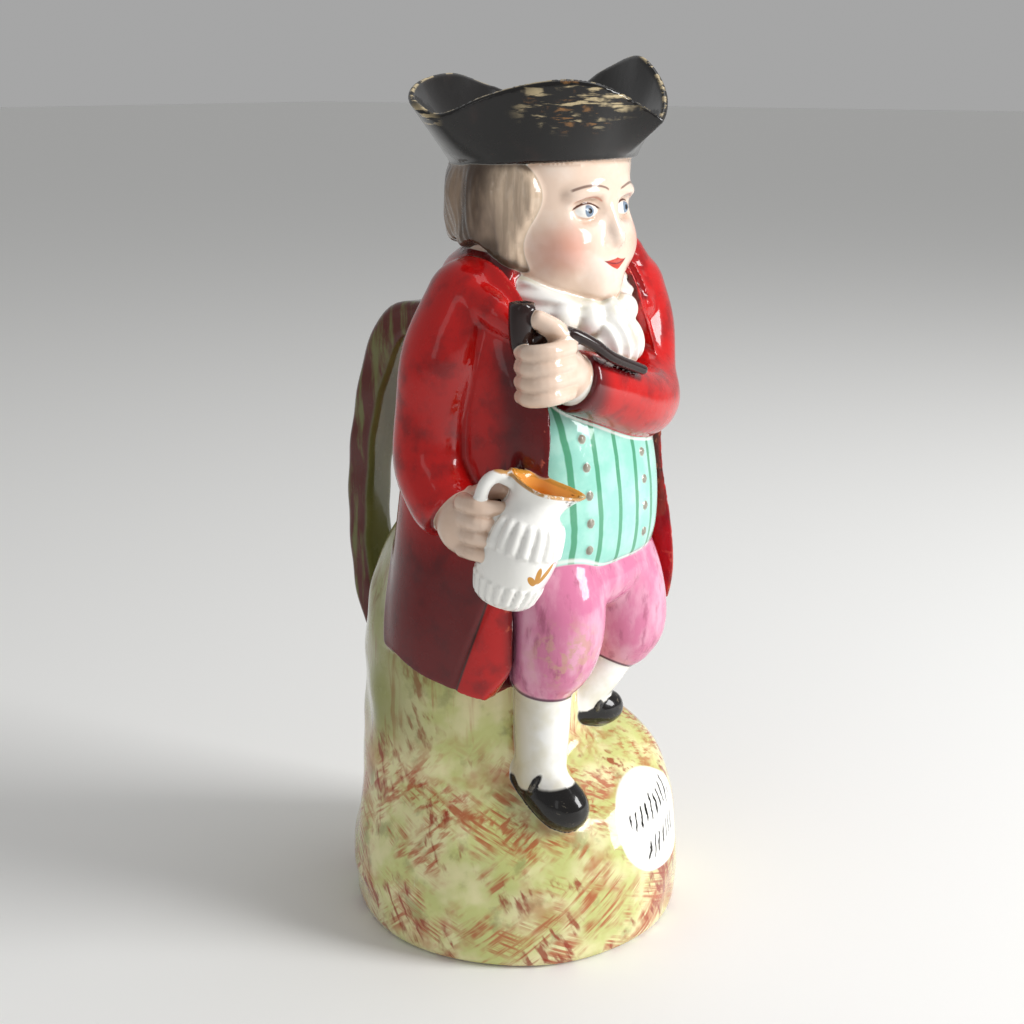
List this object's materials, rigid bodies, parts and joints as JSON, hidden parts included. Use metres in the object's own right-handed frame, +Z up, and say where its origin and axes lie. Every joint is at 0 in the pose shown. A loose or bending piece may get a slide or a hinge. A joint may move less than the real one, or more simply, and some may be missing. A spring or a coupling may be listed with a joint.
{
  "type": "toby jug",
  "caption": "Hollow glazed earthenware toby jug: a standing man in a three-cornered hat with a small jug and a pipe, on a mound, with a branch handle behind.",
  "frame": {"origin": "middle of the round foot, on the surface that the jug stands on", "axes": "+Z up through the hat, -Y the way the man looks, +X to the man's left, +Y towards the handle"},
  "size_m": [0.114, 0.1312, 0.2863],
  "materials": {
    "glazed_earthenware": "glossy clear glaze over hand-painted earthenware"
  },
  "bodies": {
    "root": {"toby_jug": "glazed_earthenware"}
  },
  "joints": []
}
